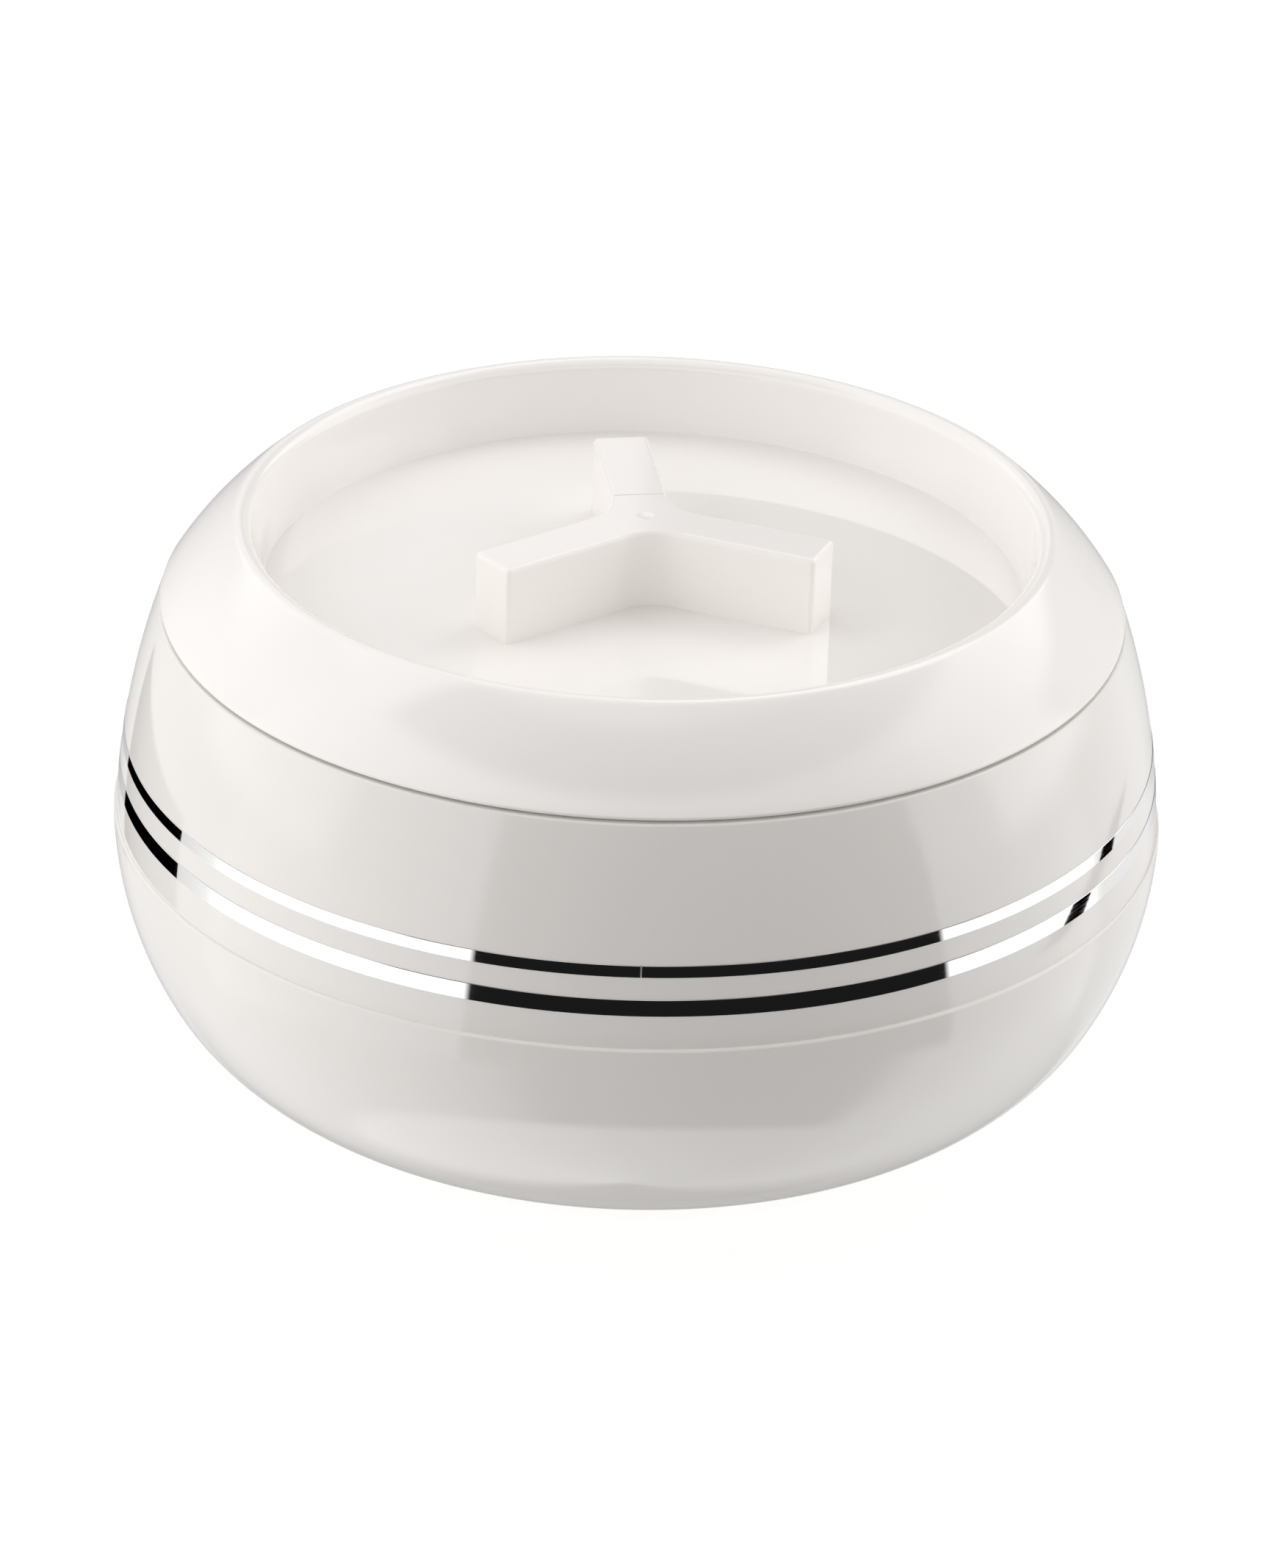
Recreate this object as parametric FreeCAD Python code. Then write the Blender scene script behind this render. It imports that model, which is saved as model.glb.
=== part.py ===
import FreeCAD, Part
import math
import os

# Insulated chapati casserole: a foam-filled double-walled bowl with a lift-off, foam-filled lid.
# Millimetres. Z is up, the round body turns about Z, and z = 0 is the surface the foot stands on.

# ---- body, outside ----
FOOT_HEIGHT = 2.7           # foot ring below the bowl's underside
FOOT_WIDTH = 5.0
FOOT_INSET = 0.8            # the ring stands this far inside the flat of the underside
FOOT_ROUND = 0.8
BOWL_HEIGHT = 65.5          # underside to the joint with the belt
LEDGE_RADIUS = 129.2        # widest point, at that joint
LEDGE_ROUND = 0.7
SIDE_ARC = 85.0             # radius of the bowl's side in section
BILGE_ARC = 47.5            # radius of the curve from side to underside
LEDGE_STEP = 0.8            # the bowl's edge stands this proud of the belt
BELT_HEIGHT = 53.3          # joint to rim
BELT_TAPER = 10.4           # the rim is this much smaller than the belt's foot, in radius
BELT_ARC = 176.0            # radius of the belt's bulge in section
OUTER_WALL = 2.6            # thickness of the bowl's and the belt's wall
SEAM_ROUND = 0.7            # rounding on the two edges that meet at the lid's seam
SPIGOT_DEPTH = 7.0          # the belt's tongue inside the bowl's mouth
SPIGOT_WALL = 2.2
SPIGOT_ROOT = 4.0           # the tongue goes on this far up the inside of the belt's wall
SPIGOT_FIT = 0.1

# ---- trim bands ----
LOWER_BAND_RISE = 8.4       # joint to the lower band
LOWER_BAND_WIDTH = 4.1
BAND_SPACING = 5.5
UPPER_BAND_WIDTH = 2.9
BAND_THICKNESS = 0.45
BAND_PROUD = 0.12           # how far a band stands out of its groove
BAND_FIT = 0.05             # clearance round a band in its groove
BAND_BUTT_GAP = 0.35        # between the two ends of one strip
UPPER_BUTT_ANGLE = 271.0    # where the ends meet, degrees from +X
LOWER_BUTT_ANGLE = 90.0

# ---- rim and steel liner ----
RIM_THICKNESS = 3.8         # solid top of the belt
RIM_OVERLAP = 5.0           # the rim reaches this far in under the liner's flange
LINER_SINK = 0.3            # the flange lies this far below the rim, so the lid rests on plastic
RIM_LAND = 8.8              # the rim's top between the liner's flange and the lid's seam
FLANGE_WIDTH = 7.0          # the liner's rolled lip and flange, mouth to edge
LINER_TAPER = 7.0           # the wall closes in by this on its way down
LINER_LIFT = 11.4           # room for foam under the liner
LINER_CORNER = 20.0
LINER_LIP_ROUND = 2.2
LINER_STEEL = 0.6
GASKET_THICKNESS = 0.6
GASKET_INSET = 0.5          # the gasket stops short of the flange's edge
SEAT_FIT = 0.3              # clearance round the steel flange in its seat

# ---- base ----
KICK_UP = 5.0               # how far the middle of the underside is raised
KICK_INSET = 5.4            # the raised middle stops this far inside the foot ring
COVER_SHELF = 1.6           # how far the base cover reaches past the raised middle
COVER_THICKNESS = 1.6
COVER_SKIRT = 2.4           # height of its push-in skirt
COVER_SKIRT_WALL = 1.6
FILL_HOLE_RADIUS = 9.0
PLUG_RIM = 3.0              # how far a fill plug's flange reaches past its hole
PLUG_FLANGE = 1.5
PLUG_LENGTH = 4.0
PLUG_WALL = 1.5
PUSH_FIT = 0.1              # radial clearance of the push-in pieces

# ---- lid ----
SEAM_GAP = 0.6              # shadow gap between the lid's edge and the rim
LID_OVERHANG = 0.2
SHOULDER_RISE = 24.5        # lid's edge to the sharp crest
SHOULDER_RUN = 21.8
SHOULDER_ARC = 86.0
CREST_ROUND = 3.0
RECESS_DEPTH = 21.0         # below the sharp crest
RECESS_DRAFT = 9.2          # degrees
RECESS_CORNER = 0.4
LID_WALL = 2.5
LID_EDGE_WALL = 4.7         # the edge is thicker, to take the inner cover
COVER_WALL = 2.0            # the inner cover's sheet
COVER_FIT = 0.15
COVER_LIP = 3.0             # height of its upturned edge
COVER_NECK_ROUND = 1.5
PLUG_DEPTH = 14.0           # the inner cover reaches this far into the liner
PLUG_CLEARANCE = 1.6        # radial, inner cover to liner
PLUG_CORNER = 6.0

# ---- seal ----
SEAL_HEIGHT = 4.6
SEAL_RISE = 5.5             # inner cover's underside to the seal's groove
SEAL_GROOVE = 0.7
SEAL_BAND = 1.2             # thickness of the ring's body
SEAL_LIP = 0.5              # thickness of the lip's edge
SEAL_FIT = 0.1
SEAL_CLEARANCE = 0.3        # lip to liner

# ---- handle ----
ARM_COUNT = 3
FIRST_ARM_ANGLE = 98.4      # degrees from +X
ARM_LENGTH = 46.6           # axis to end face
ARM_WIDTH = 13.6
HANDLE_HEIGHT = 19.8
ARM_FILLET = 12.0            # between neighbouring arms
HANDLE_EDGE = 1.2
HANDLE_WALL = 2.2
HANDLE_TOP_WALL = 2.6
DIMPLE_RADIUS = 2.2
DIMPLE_DEPTH = 0.35
HUB_STEP_DISTANCE = 12.0    # axis to the step across each arm's top
HUB_STEP_DEPTH = 0.2
BOSS_DISTANCE = 34.0        # axis to each screw
BOSS_RADIUS = 5.0
PILOT_DEPTH = 12.0
SCREW_RADIUS = 1.35
SCREW_GRIP = 9.0            # screw length above the recess floor
SCREW_HEAD_RADIUS = 3.4
SCREW_HEAD_HEIGHT = 2.2
SCREW_PILOT_FIT = 0.05
SCREW_HOLE_FIT = 0.5
DRIVE_DEPTH = 1.2
DRIVE_WIDTH = 0.8
DRIVE_LENGTH = 3.6

# ---- foam ----
FOAM_FIT = 0.2              # the foam keeps this far off its shells

# ---- heights that follow ----
UNDERSIDE_Z = FOOT_HEIGHT
KICK_Z = UNDERSIDE_Z + KICK_UP
COVER_SEAT_Z = UNDERSIDE_Z + COVER_THICKNESS
LEDGE_Z = UNDERSIDE_Z + BOWL_HEIGHT
LOWER_BAND_Z = LEDGE_Z + LOWER_BAND_RISE
UPPER_BAND_Z = LOWER_BAND_Z + LOWER_BAND_WIDTH + BAND_SPACING
RIM_Z = LEDGE_Z + BELT_HEIGHT
FLANGE_Z = RIM_Z - LINER_SINK - LINER_STEEL
LINER_Z = KICK_Z + OUTER_WALL + LINER_LIFT
SEAM_Z = RIM_Z + SEAM_GAP
CREST_Z = SEAM_Z + SHOULDER_RISE
RECESS_Z = CREST_Z - RECESS_DEPTH
PANEL_Z = RECESS_Z - LID_WALL
HANDLE_TOP_Z = RECESS_Z + HANDLE_HEIGHT
PLUG_Z = RIM_Z - PLUG_DEPTH
SEAL_Z = PLUG_Z + SEAL_RISE

# ---- radii that follow ----
BILGE_REACH = math.sqrt((SIDE_ARC - BILGE_ARC) ** 2 - (BOWL_HEIGHT - BILGE_ARC) ** 2)
BILGE_RADIUS = LEDGE_RADIUS - SIDE_ARC + BILGE_REACH
FOOT_RADIUS = BILGE_RADIUS - FOOT_INSET
KICK_RADIUS = FOOT_RADIUS - FOOT_WIDTH - KICK_INSET
COVER_RADIUS = KICK_RADIUS + COVER_SHELF
BELT_FOOT_RADIUS = LEDGE_RADIUS - LEDGE_STEP
RIM_RADIUS = BELT_FOOT_RADIUS - BELT_TAPER
LINER_FLANGE_RADIUS = RIM_RADIUS - RIM_LAND
LINER_MOUTH_RADIUS = LINER_FLANGE_RADIUS - FLANGE_WIDTH     # inside
BOWL_INNER_ARC = SIDE_ARC - OUTER_WALL
SPIGOT_RADIUS = LEDGE_RADIUS - SIDE_ARC + math.sqrt(BOWL_INNER_ARC ** 2 - SPIGOT_DEPTH ** 2) - SPIGOT_FIT
LID_RADIUS = RIM_RADIUS + LID_OVERHANG
CREST_RADIUS = LID_RADIUS - SHOULDER_RUN
LID_MOUTH_RADIUS = LID_RADIUS - LID_EDGE_WALL
COVER_EDGE_RADIUS = LID_MOUTH_RADIUS - COVER_FIT
ARM_ANGLES = [FIRST_ARM_ANGLE + turn * 360 / ARM_COUNT for turn in range(ARM_COUNT)]

ORIGIN = FreeCAD.Vector(0, 0, 0)
UP = FreeCAD.Vector(0, 0, 1)
SAME = 0.01                 # lengths closer than this are taken as equal


# ---- outlines and turned solids ----

def point(radius, z):
    return FreeCAD.Vector(radius, 0, z)


def line(start, end):
    return Part.LineSegment(start, end).toShape()


def arc(centre, start, end):
    """The shorter arc about a centre."""
    halfway = (start - centre) + (end - centre)
    middle = centre + halfway.normalize() * (start - centre).Length
    return Part.Arc(start, middle, end).toShape()


def arc_centre(start, end, radius):
    """Centre of the arc from start to end, on the left of that direction."""
    chord = end - start
    to_left = FreeCAD.Vector(-chord.z, 0, chord.x).normalize()
    distance = math.sqrt(radius ** 2 - (chord.Length / 2) ** 2)
    return start + chord * 0.5 + to_left * distance


def turned(*edges):
    """The solid that a closed outline sweeps about Z."""
    return Part.Face(Part.Wire(list(edges))).revolve(ORIGIN, UP, 360)


def disc(radius, low, high):
    return Part.makeCylinder(radius, high - low, point(0, low))


def ring(inner, outer, low, high):
    return disc(outer, low, high).cut(disc(inner, low, high))


def rounded(shape, size, *rings):
    """The shape with its circular edges at the given (radius, z) places rounded to a size."""
    def wanted(edge):
        circle = edge.Curve
        if not isinstance(circle, Part.Circle):
            return False
        return any(abs(circle.Radius - r) < SAME and abs(circle.Center.z - z) < SAME for r, z in rings)
    return shape.makeFillet(size, [edge for edge in shape.Edges if wanted(edge)])


def around(shape, angle):
    """A copy turned about Z from +X."""
    copy = shape.copy()
    copy.rotate(ORIGIN, UP, angle)
    return copy


def fused(shapes):
    return shapes[0].multiFuse(shapes[1:]).removeSplitter()


# ---- sheets that follow a path of (radius, z, corner radius) ----

def directions(path):
    places = [point(radius, z) for radius, z, _ in path]
    return [(end - start).normalize() for start, end in zip(places, places[1:])]


def left_of(direction):
    return FreeCAD.Vector(-direction.z, 0, direction.x)


def moved_left(path, distance):
    """The path moved sideways; each rounded corner keeps its centre."""
    ways = directions(path)
    moved = []
    for (radius, z, corner), before, after in zip(path, ways[:1] + ways, ways + ways[-1:]):
        side = left_of(before) + left_of(after)
        place = point(radius, z) + side * (distance / (1 + left_of(before).dot(left_of(after))))
        turns_left = left_of(before).dot(after) > 0
        corner = corner - distance if turns_left else corner + distance
        moved.append((place.x, place.z, max(corner, 0) if corner else 0))
    return moved


def path_edges(path):
    """Lines along the path, with an arc at each rounded corner."""
    edges = []
    start = point(*path[0][:2])
    ways = directions(path)
    for (radius, z, corner), before, after in zip(path[1:-1], ways, ways[1:]):
        place = point(radius, z)
        if corner > SAME:
            reach = corner * math.tan(before.getAngle(after) / 2)
            side = 1 if left_of(before).dot(after) > 0 else -1
            arc_start = place - before * reach
            arc_end = place + after * reach
            edges.append(line(start, arc_start))
            edges.append(arc(arc_start + left_of(before) * (side * corner), arc_start, arc_end))
            start = arc_end
        else:
            edges.append(line(start, place))
            start = place
    edges.append(line(start, point(*path[-1][:2])))
    return edges


def sheet(path, thickness):
    """A turned sheet with the path as its lower or outer face."""
    far_path = moved_left(path, thickness)
    first_end = line(point(*far_path[0][:2]), point(*path[0][:2]))
    last_end = line(point(*path[-1][:2]), point(*far_path[-1][:2]))
    return turned(*path_edges(path), last_end, *path_edges(far_path[::-1]), first_end)


def filled_above(path, high):
    """Everything above the path and inside its last point."""
    start = point(*path[0][:2])
    end = point(*path[-1][:2])
    corner = point(end.x, high)
    top = point(0, high)
    return turned(*path_edges(path), line(end, corner), line(corner, top), line(top, start))


# ---- forms that several pieces share ----

def bowl_form(inset):
    """The bowl's outside, moved inwards and filled up to the joint with the belt."""
    side_centre = point(LEDGE_RADIUS - SIDE_ARC, LEDGE_Z)
    bilge_centre = point(BILGE_RADIUS, UNDERSIDE_Z + BILGE_ARC)
    outwards = (bilge_centre - side_centre).normalize()
    bottom = point(BILGE_RADIUS, UNDERSIDE_Z + inset)
    tangent = side_centre + outwards * (SIDE_ARC - inset)
    edge = point(LEDGE_RADIUS - inset, LEDGE_Z)
    middle_top = point(0, LEDGE_Z)
    middle_bottom = point(0, bottom.z)
    return turned(
        line(middle_bottom, bottom),
        arc(bilge_centre, bottom, tangent),
        arc(side_centre, tangent, edge),
        line(edge, middle_top),
        line(middle_top, middle_bottom),
    )


def bowl_cavity(inset):
    """The space inside the bowl's wall, over the raised middle of the underside."""
    return bowl_form(inset).cut(disc(KICK_RADIUS + inset, 0, KICK_Z + inset))


def belt_form(offset, high=RIM_Z):
    """The belt's outside, moved outwards and filled from its joint up to a height."""
    centre = arc_centre(point(BELT_FOOT_RADIUS, LEDGE_Z), point(RIM_RADIUS, RIM_Z), BELT_ARC)

    def on_belt(z):
        return point(centre.x + math.sqrt((BELT_ARC + offset) ** 2 - (z - centre.z) ** 2), z)

    foot = on_belt(LEDGE_Z)
    top = on_belt(high)
    middle_top = point(0, high)
    middle_bottom = point(0, LEDGE_Z)
    return turned(
        line(middle_bottom, foot),
        arc(centre, foot, top),
        line(top, middle_top),
        line(middle_top, middle_bottom),
    )


def hoop(low, high, inside, outside):
    """A hoop that follows the belt's bulge, between two heights and two offsets."""
    slab = disc(LEDGE_RADIUS, low, high)
    return belt_form(outside).common(slab).cut(belt_form(inside))


def shoulder_form(inset):
    """The lid's domed outside, moved inwards and filled down to the seam."""
    crest = point(CREST_RADIUS, CREST_Z)
    centre = arc_centre(point(LID_RADIUS, SEAM_Z), crest, SHOULDER_ARC)
    radius = SHOULDER_ARC - inset
    edge = point(centre.x + math.sqrt(radius ** 2 - (SEAM_Z - centre.z) ** 2), SEAM_Z)
    top = centre + (crest - centre).normalize() * radius
    middle_top = point(0, top.z)
    middle_bottom = point(0, SEAM_Z)
    return turned(
        line(middle_bottom, edge),
        arc(centre, edge, top),
        line(top, middle_top),
        line(middle_top, middle_bottom),
    )


def recess_form(grow):
    """The hollow in the lid's top, grown into the lid by a wall."""
    draft = math.radians(RECESS_DRAFT)
    floor_z = RECESS_Z - grow
    top_radius = CREST_RADIUS + grow / math.cos(draft)
    floor_radius = top_radius - (CREST_Z - floor_z) * math.tan(draft)
    return Part.makeCone(floor_radius, top_radius, CREST_Z - floor_z, point(0, floor_z))


def lid_cavity(inset):
    """The space inside the lid's shell."""
    mouth = disc(LID_MOUTH_RADIUS + LID_WALL - inset, SEAM_Z, CREST_Z)
    return shoulder_form(inset).common(mouth).cut(recess_form(inset))


def liner_path():
    """The foam side of the liner, from the axis to the flange's edge."""
    mouth = LINER_MOUTH_RADIUS + LINER_STEEL
    return [
        (0, LINER_Z, 0),
        (mouth - LINER_TAPER, LINER_Z, LINER_CORNER),
        (mouth, FLANGE_Z, LINER_LIP_ROUND),
        (LINER_FLANGE_RADIUS, FLANGE_Z, 0),
    ]


def liner_radius(z):
    """The liner's inside at a height on its sloping wall."""
    return LINER_MOUTH_RADIUS - LINER_TAPER * (FLANGE_Z - z) / (FLANGE_Z - LINER_Z)


def cover_path():
    """The outer face of the lid's inner cover, from the axis to the top of its lip."""
    return [
        (0, PLUG_Z, 0),
        (liner_radius(PLUG_Z) - PLUG_CLEARANCE, PLUG_Z, PLUG_CORNER),
        (liner_radius(RIM_Z) - PLUG_CLEARANCE, RIM_Z, COVER_NECK_ROUND),
        (COVER_EDGE_RADIUS, RIM_Z, 0),
        (COVER_EDGE_RADIUS, RIM_Z + COVER_LIP, 0),
    ]


def fill_plug(face_z):
    """A push-in plug whose flange lies under the face at face_z."""
    flange = disc(FILL_HOLE_RADIUS + PLUG_RIM, face_z - PLUG_FLANGE, face_z)
    shank_radius = FILL_HOLE_RADIUS - PUSH_FIT
    shank = ring(shank_radius - PLUG_WALL, shank_radius, face_z, face_z + PLUG_LENGTH)
    return flange.fuse(shank).removeSplitter()


def plug_pocket(face_z):
    """Room for a fill plug in the foam behind it."""
    return disc(FILL_HOLE_RADIUS + FOAM_FIT, face_z, face_z + PLUG_LENGTH + FOAM_FIT)


# ---- the body's pieces ----

def lower_bowl():
    foot = ring(FOOT_RADIUS - FOOT_WIDTH, FOOT_RADIUS, 0, UNDERSIDE_Z + OUTER_WALL / 2)
    cover_seat = disc(COVER_RADIUS + PUSH_FIT, 0, COVER_SEAT_Z)
    fill_hole = disc(FILL_HOLE_RADIUS, 0, LEDGE_Z)
    outside = bowl_form(0).fuse(foot).cut(disc(KICK_RADIUS, 0, KICK_Z)).cut(cover_seat)
    bowl = outside.cut(bowl_cavity(OUTER_WALL)).cut(fill_hole).removeSplitter()
    bowl = rounded(bowl, FOOT_ROUND, (FOOT_RADIUS, 0), (FOOT_RADIUS - FOOT_WIDTH, 0))
    return rounded(bowl, LEDGE_ROUND, (LEDGE_RADIUS, LEDGE_Z))


def spigot_ring(fit):
    """The belt's tongue inside the bowl's mouth, with a clearance on all sides."""
    low = LEDGE_Z - SPIGOT_DEPTH - fit
    high = LEDGE_Z + SPIGOT_ROOT + fit
    return ring(SPIGOT_RADIUS - SPIGOT_WALL - fit, SPIGOT_RADIUS + fit, low, high)


def upper_belt():
    rim_hole = disc(LINER_FLANGE_RADIUS - RIM_OVERLAP, RIM_Z - RIM_THICKNESS, RIM_Z)
    flange_seat = disc(LINER_FLANGE_RADIUS + SEAT_FIT, FLANGE_Z - GASKET_THICKNESS, RIM_Z)
    belt = belt_form(0).cut(belt_form(-OUTER_WALL, RIM_Z - RIM_THICKNESS)).fuse(spigot_ring(0))
    belt = belt.cut(rim_hole).cut(flange_seat).removeSplitter()
    belt = rounded(belt, SEAM_ROUND, (RIM_RADIUS, RIM_Z))
    groove_floor = BAND_PROUD - BAND_THICKNESS - BAND_FIT
    for low, width in ((LOWER_BAND_Z, LOWER_BAND_WIDTH), (UPPER_BAND_Z, UPPER_BAND_WIDTH)):
        belt = belt.cut(hoop(low - BAND_FIT, low + width + BAND_FIT, groove_floor, BAND_PROUD))
    return belt


def trim_band(low, width, butt_angle):
    """One strip bent round the belt, its ends meeting with a small gap."""
    strip = hoop(low, low + width, BAND_PROUD - BAND_THICKNESS, BAND_PROUD)
    gap = Part.makeBox(LEDGE_RADIUS, BAND_BUTT_GAP, width, FreeCAD.Vector(0, -BAND_BUTT_GAP / 2, low))
    return strip.cut(around(gap, butt_angle))


def steel_liner():
    return sheet(liner_path(), LINER_STEEL)


def liner_gasket():
    inner = LINER_MOUTH_RADIUS + LINER_STEEL + LINER_LIP_ROUND + GASKET_INSET
    return ring(inner, LINER_FLANGE_RADIUS - GASKET_INSET, FLANGE_Z - GASKET_THICKNESS, FLANGE_Z)


def body_insulation():
    foam_top = RIM_Z - RIM_THICKNESS - FOAM_FIT
    inset = OUTER_WALL + FOAM_FIT
    liner = filled_above(moved_left(liner_path()[:-1], -FOAM_FIT), RIM_Z)
    foam = bowl_cavity(inset).fuse(belt_form(-inset, foam_top)).removeSplitter()
    return foam.cut(liner).cut(spigot_ring(FOAM_FIT)).cut(plug_pocket(KICK_Z))


def base_cover():
    plate = disc(COVER_RADIUS, UNDERSIDE_Z, COVER_SEAT_Z)
    skirt_radius = KICK_RADIUS - PUSH_FIT
    skirt = ring(skirt_radius - COVER_SKIRT_WALL, skirt_radius, COVER_SEAT_Z, COVER_SEAT_Z + COVER_SKIRT)
    return plate.fuse(skirt).removeSplitter()


# ---- the lid's pieces ----

def lid_shell():
    shell = shoulder_form(0).cut(recess_form(0)).cut(lid_cavity(LID_WALL))
    floor_radius = CREST_RADIUS - RECESS_DEPTH * math.tan(math.radians(RECESS_DRAFT))
    shell = rounded(shell, CREST_ROUND, (CREST_RADIUS, CREST_Z))
    shell = rounded(shell, RECESS_CORNER, (floor_radius, RECESS_Z))
    shell = rounded(shell, SEAM_ROUND, (LID_RADIUS, SEAM_Z))
    for angle in ARM_ANGLES:
        shell = shell.cut(around(screw_cylinder(SCREW_RADIUS + SCREW_HOLE_FIT, PANEL_Z, RECESS_Z), angle))
    return shell


def screw_cylinder(radius, low, high):
    """A cylinder where a handle screw goes, for the arm along +X."""
    return Part.makeCylinder(radius, high - low, point(BOSS_DISTANCE, low))


def handle_form(inset, low, high):
    """The hub and its arms, moved inwards, with hollow corners between the arms."""
    width = ARM_WIDTH - 2 * inset
    arm = Part.makeBox(ARM_LENGTH - inset, width, high - low, FreeCAD.Vector(0, -width / 2, low))
    star = fused([around(arm, angle) for angle in ARM_ANGLES])
    corner_distance = width / 2 / math.sin(math.pi / ARM_COUNT)
    return star.makeFillet(ARM_FILLET + inset, upright_edges(star, corner_distance))


def upright_edges(shape, distance):
    """The vertical edges that stand at a distance from the axis."""
    def wanted(edge):
        box = edge.BoundBox
        upright = box.XLength < SAME and box.YLength < SAME
        return upright and abs(math.hypot(box.Center.x, box.Center.y) - distance) < SAME
    return [edge for edge in shape.Edges if wanted(edge)]


def hub_step():
    """A shallow triangle cut over the hub, with one side square across each arm."""
    reach = HUB_STEP_DISTANCE / math.cos(math.pi / ARM_COUNT)
    low = HANDLE_TOP_Z - HUB_STEP_DEPTH
    corners = []
    for angle in ARM_ANGLES:
        between = math.radians(angle + 180 / ARM_COUNT)
        corners.append(FreeCAD.Vector(reach * math.cos(between), reach * math.sin(between), low))
    return Part.Face(Part.makePolygon(corners + corners[:1])).extrude(UP * (2 * HUB_STEP_DEPTH))


def lid_handle():
    handle = handle_form(0, RECESS_Z, HANDLE_TOP_Z)
    end_edges = upright_edges(handle, math.hypot(ARM_LENGTH, ARM_WIDTH / 2))
    top_edges = [edge for edge in handle.Edges if edge.BoundBox.ZMin > HANDLE_TOP_Z - SAME]
    handle = handle.makeFillet(HANDLE_EDGE, end_edges + top_edges)
    step_z = HANDLE_TOP_Z - HUB_STEP_DEPTH
    dimple = Part.makeCone(0, DIMPLE_RADIUS, DIMPLE_DEPTH, point(0, step_z - DIMPLE_DEPTH))
    handle = handle.cut(hub_step()).cut(dimple)
    handle = handle.cut(handle_form(HANDLE_WALL, RECESS_Z, HANDLE_TOP_Z - HANDLE_TOP_WALL))
    for angle in ARM_ANGLES:
        boss = screw_cylinder(BOSS_RADIUS, RECESS_Z, HANDLE_TOP_Z - HANDLE_TOP_WALL / 2)
        pilot = screw_cylinder(SCREW_RADIUS + SCREW_PILOT_FIT, RECESS_Z, RECESS_Z + PILOT_DEPTH)
        handle = handle.fuse(around(boss, angle)).cut(around(pilot, angle))
    return handle.removeSplitter()


def handle_screws():
    head = screw_cylinder(SCREW_HEAD_RADIUS, PANEL_Z - SCREW_HEAD_HEIGHT, PANEL_Z)
    shank = screw_cylinder(SCREW_RADIUS, PANEL_Z, RECESS_Z + SCREW_GRIP)
    screw = head.fuse(shank).removeSplitter()
    drive = FreeCAD.Vector(BOSS_DISTANCE, 0, PANEL_Z - SCREW_HEAD_HEIGHT)
    for length, width in ((DRIVE_LENGTH, DRIVE_WIDTH), (DRIVE_WIDTH, DRIVE_LENGTH)):
        slot = Part.makeBox(length, width, DRIVE_DEPTH, drive - FreeCAD.Vector(length / 2, width / 2, 0))
        screw = screw.cut(slot)
    return Part.makeCompound([around(screw, angle) for angle in ARM_ANGLES])


def seal_groove_radius():
    return liner_radius(SEAL_Z) - PLUG_CLEARANCE - SEAL_GROOVE


def lid_inner_cover():
    groove = ring(seal_groove_radius(), LINER_MOUTH_RADIUS, SEAL_Z, SEAL_Z + SEAL_HEIGHT)
    fill_hole = disc(FILL_HOLE_RADIUS, PLUG_Z, RIM_Z)
    return sheet(cover_path(), COVER_WALL).cut(groove).cut(fill_hole)


def lid_seal():
    low = SEAL_Z + SEAL_FIT
    high = SEAL_Z + SEAL_HEIGHT - SEAL_FIT
    inner = seal_groove_radius() + SEAL_FIT
    outer = inner + SEAL_BAND
    tip = liner_radius(high - SEAL_LIP) - SEAL_CLEARANCE
    corners = [
        point(inner, low),
        point(outer, low),
        point(outer, (low + high) / 2),
        point(tip, high - SEAL_LIP),
        point(tip, high),
        point(outer, (low + high) / 2 + SEAL_BAND),
        point(outer, high),
        point(inner, high),
    ]
    return turned(*[line(start, end) for start, end in zip(corners, corners[1:] + corners[:1])])


def lid_insulation():
    above_cover = filled_above(moved_left(cover_path(), COVER_WALL + FOAM_FIT), CREST_Z)
    below_seam = disc(COVER_EDGE_RADIUS, PLUG_Z, SEAM_Z)
    cavity = lid_cavity(LID_WALL + FOAM_FIT).fuse(below_seam)
    foam = cavity.common(above_cover).cut(plug_pocket(PLUG_Z))
    for angle in ARM_ANGLES:
        head_low = PANEL_Z - SCREW_HEAD_HEIGHT - FOAM_FIT
        pocket = screw_cylinder(SCREW_HEAD_RADIUS + FOAM_FIT, head_low, RECESS_Z)
        foam = foam.cut(around(pocket, angle))
    return foam.removeSplitter()


PIECES = {
    "lower_bowl": lower_bowl,
    "upper_belt": upper_belt,
    "upper_trim_band": lambda: trim_band(UPPER_BAND_Z, UPPER_BAND_WIDTH, UPPER_BUTT_ANGLE),
    "lower_trim_band": lambda: trim_band(LOWER_BAND_Z, LOWER_BAND_WIDTH, LOWER_BUTT_ANGLE),
    "steel_liner": steel_liner,
    "liner_gasket": liner_gasket,
    "body_insulation": body_insulation,
    "base_cover": base_cover,
    "base_fill_plug": lambda: fill_plug(KICK_Z),
    "lid_shell": lid_shell,
    "lid_handle": lid_handle,
    "handle_screws": handle_screws,
    "lid_inner_cover": lid_inner_cover,
    "lid_seal": lid_seal,
    "lid_insulation": lid_insulation,
    "lid_fill_plug": lambda: fill_plug(PLUG_Z),
}

os.makedirs("parts", exist_ok=True)
for name, make in PIECES.items():
    make().exportStep("parts/" + name + ".step")
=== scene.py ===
import math

import bmesh
import bpy
from mathutils import Matrix, Vector


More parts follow.
